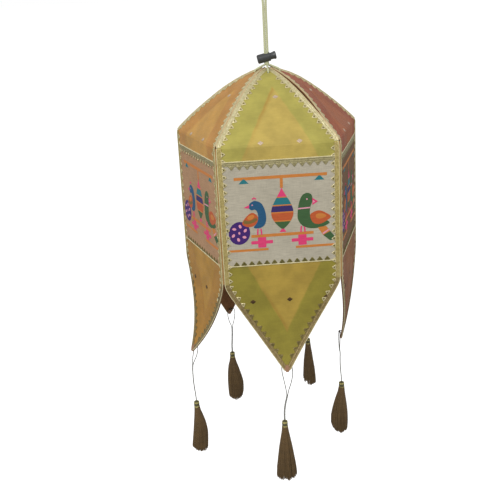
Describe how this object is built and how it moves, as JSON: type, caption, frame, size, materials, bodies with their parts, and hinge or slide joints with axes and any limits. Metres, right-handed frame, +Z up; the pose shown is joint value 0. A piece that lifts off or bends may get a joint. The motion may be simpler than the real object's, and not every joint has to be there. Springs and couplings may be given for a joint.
{
  "type": "folding cloth lantern",
  "caption": "Folding hanging lantern: a ring of cloth-faced card panels with gathered top flaps, hanging points, tassels and a cord lock on its cord.",
  "frame": {"origin": "inside top of the hanging cord's loop, where a hook takes the lantern", "axes": "+Z up, the front panel faces -Y, +X to the right seen from the front"},
  "size_m": [0.2565, 0.2535, 0.6523],
  "materials": {
    "card_lining": "stiff card faced inside with dull brown lining cloth, matt",
    "lace": "zigzag border of flat metallic thread, pale gold, glinting",
    "hinge_tape": "orange-brown woven cotton tape, matt",
    "cord": "braided cream cord, slightly green, satin",
    "tassel_cord": "thin twisted dark olive cord",
    "tassel": "brown olive rayon strands with a gold and green wound head",
    "lock_plastic": "charcoal moulded plastic, satin",
    "spring_steel": "steel wire",
    "front_flap_cloth": "fine weave with a paler triangle let in and small metallic motifs",
    "front_band_cloth": "slubby linen with printed folk birds between two bars",
    "front_point_cloth": "fine weave with a mustard triangle let in and small metallic motifs",
    "left_flap_cloth": "fine weave with a paler triangle let in and small metallic motifs",
    "left_band_cloth": "slubby linen with printed folk birds between two bars",
    "left_point_cloth": "fine weave with a mustard triangle let in and small metallic motifs",
    "back_left_flap_cloth": "fine weave with a paler triangle let in and small metallic motifs",
    "back_left_band_cloth": "slubby linen with printed folk birds between two bars",
    "back_left_point_cloth": "fine weave with a mustard triangle let in and small metallic motifs",
    "back_right_flap_cloth": "fine weave with a paler triangle let in and small metallic motifs",
    "back_right_band_cloth": "slubby linen with printed folk birds between two bars",
    "back_right_point_cloth": "fine weave with a mustard triangle let in and small metallic motifs",
    "right_flap_cloth": "fine weave with a paler triangle let in and small metallic motifs",
    "right_band_cloth": "slubby linen with printed folk birds between two bars",
    "right_point_cloth": "fine weave with a mustard triangle let in and small metallic motifs"
  },
  "bodies": {
    "front_wall": {"front_wall_card": "card_lining", "front_band_cloth": "front_band_cloth", "front_point_cloth": "front_point_cloth", "front_wall_lace": "lace", "front_left_hinge_tape": "hinge_tape", "front_right_hinge_tape": "hinge_tape", "hang_cord": "cord", "gather_knot": "cord", "draw_strands": "cord"},
    "front_flap": {"front_flap_card": "card_lining", "front_flap_cloth": "front_flap_cloth", "front_flap_lace": "lace"},
    "front_tassel": {"front_tassel_cord": "tassel_cord", "front_tassel": "tassel"},
    "left_wall": {"left_wall_card": "card_lining", "left_band_cloth": "left_band_cloth", "left_point_cloth": "left_point_cloth", "left_wall_lace": "lace", "side_left_hinge_tape": "hinge_tape"},
    "left_flap": {"left_flap_card": "card_lining", "left_flap_cloth": "left_flap_cloth", "left_flap_lace": "lace"},
    "left_tassel": {"left_tassel_cord": "tassel_cord", "left_tassel": "tassel"},
    "back_left_wall": {"back_left_wall_card": "card_lining", "back_left_band_cloth": "back_left_band_cloth", "back_left_point_cloth": "back_left_point_cloth", "back_left_wall_lace": "lace", "back_seam_tape": "hinge_tape"},
    "back_left_flap": {"back_left_flap_card": "card_lining", "back_left_flap_cloth": "back_left_flap_cloth", "back_left_flap_lace": "lace"},
    "back_left_tassel": {"back_left_tassel_cord": "tassel_cord", "back_left_tassel": "tassel"},
    "back_right_wall": {"back_right_wall_card": "card_lining", "back_right_band_cloth": "back_right_band_cloth", "back_right_point_cloth": "back_right_point_cloth", "back_right_wall_lace": "lace"},
    "back_right_flap": {"back_right_flap_card": "card_lining", "back_right_flap_cloth": "back_right_flap_cloth", "back_right_flap_lace": "lace"},
    "back_right_tassel": {"back_right_tassel_cord": "tassel_cord", "back_right_tassel": "tassel"},
    "right_wall": {"right_wall_card": "card_lining", "right_band_cloth": "right_band_cloth", "right_point_cloth": "right_point_cloth", "right_wall_lace": "lace", "side_right_hinge_tape": "hinge_tape"},
    "right_flap": {"right_flap_card": "card_lining", "right_flap_cloth": "right_flap_cloth", "right_flap_lace": "lace"},
    "right_tassel": {"right_tassel_cord": "tassel_cord", "right_tassel": "tassel"},
    "cord_lock": {"lock_body": "lock_plastic", "lock_spring": "spring_steel"},
    "lock_button": {"lock_button": "lock_plastic"}
  },
  "joints": [
    {"name": "panel_unfold", "type": "hinge", "parent": "front_wall", "child": "left_wall", "pos_m": [-0.075, -0.10323, -0.28], "axis": [0, 0, 1], "range_deg": [0, 72], "deforming": ["draw_strands"]},
    {"name": "back_left_unfold", "type": "hinge", "parent": "left_wall", "child": "back_left_wall", "pos_m": [-0.12135, 0.03943, -0.28], "axis": [0, 0, 1], "range_deg": [0, 72]},
    {"name": "right_unfold", "type": "hinge", "parent": "front_wall", "child": "right_wall", "pos_m": [0.075, -0.10323, -0.28], "axis": [0, 0, -1], "range_deg": [0, 72]},
    {"name": "back_right_unfold", "type": "hinge", "parent": "right_wall", "child": "back_right_wall", "pos_m": [0.12135, 0.03943, -0.28], "axis": [0, 0, -1], "range_deg": [0, 72]},
    {"name": "lock_slide", "type": "slide", "parent": "front_wall", "child": "cord_lock", "axis": [0, 0, 1], "range_m": [0, 0.06], "deforming": ["draw_strands"]},
    {"name": "front_flap_open", "type": "hinge", "parent": "front_wall", "child": "front_flap", "pos_m": [0, -0.10323, -0.194], "axis": [1, 0, 0], "range_deg": [0, 30]},
    {"name": "left_flap_open", "type": "hinge", "parent": "left_wall", "child": "left_flap", "pos_m": [-0.09818, -0.0319, -0.194], "axis": [0.309, -0.9511, 0], "range_deg": [0, 30]},
    {"name": "back_left_flap_open", "type": "hinge", "parent": "back_left_wall", "child": "back_left_flap", "pos_m": [-0.06068, 0.08351, -0.194], "axis": [-0.809, -0.5878, 0], "range_deg": [0, 30]},
    {"name": "back_right_flap_open", "type": "hinge", "parent": "back_right_wall", "child": "back_right_flap", "pos_m": [0.06068, 0.08351, -0.194], "axis": [-0.809, 0.5878, 0], "range_deg": [0, 30]},
    {"name": "right_flap_open", "type": "hinge", "parent": "right_wall", "child": "right_flap", "pos_m": [0.09818, -0.0319, -0.194], "axis": [0.309, 0.9511, 0], "range_deg": [0, 30]},
    {"name": "button_press", "type": "slide", "parent": "cord_lock", "child": "lock_button", "axis": [-0.9781, 0, -0.2079], "range_m": [0, 0.003], "stiffness_N_per_m": 600, "springref_m": -0.002, "deforming": ["lock_spring"]},
    {"name": "front_tassel_swing", "type": "hinge", "parent": "front_wall", "child": "front_tassel", "pos_m": [0, -0.11345, -0.48131], "axis": [1, 0, 0], "range_deg": [-30, 30]},
    {"name": "left_tassel_swing", "type": "hinge", "parent": "left_wall", "child": "left_tassel", "pos_m": [-0.11626, -0.03778, -0.47963], "axis": [0.309, -0.9511, 0], "range_deg": [-30, 30]},
    {"name": "back_left_tassel_swing", "type": "hinge", "parent": "back_left_wall", "child": "back_left_tassel", "pos_m": [-0.06193, 0.08525, -0.4818], "axis": [-0.809, -0.5878, 0], "range_deg": [-30, 30]},
    {"name": "back_right_tassel_swing", "type": "hinge", "parent": "back_right_wall", "child": "back_right_tassel", "pos_m": [0.06193, 0.08525, -0.4818], "axis": [-0.809, 0.5878, 0], "range_deg": [-30, 30]},
    {"name": "right_tassel_swing", "type": "hinge", "parent": "right_wall", "child": "right_tassel", "pos_m": [0.08441, -0.02743, -0.47967], "axis": [0.309, 0.9511, 0], "range_deg": [-30, 30]}
  ],
  "couplings": [
    {"joint": "back_left_unfold", "follows": "panel_unfold", "ratio": 1},
    {"joint": "right_unfold", "follows": "panel_unfold", "ratio": 1},
    {"joint": "back_right_unfold", "follows": "panel_unfold", "ratio": 1},
    {"joint": "front_flap_open", "follows": "lock_slide", "rad_per_m": 8.7265},
    {"joint": "left_flap_open", "follows": "lock_slide", "rad_per_m": 8.7265},
    {"joint": "back_left_flap_open", "follows": "lock_slide", "rad_per_m": 8.7265},
    {"joint": "back_right_flap_open", "follows": "lock_slide", "rad_per_m": 8.7265},
    {"joint": "right_flap_open", "follows": "lock_slide", "rad_per_m": 8.7265}
  ]
}
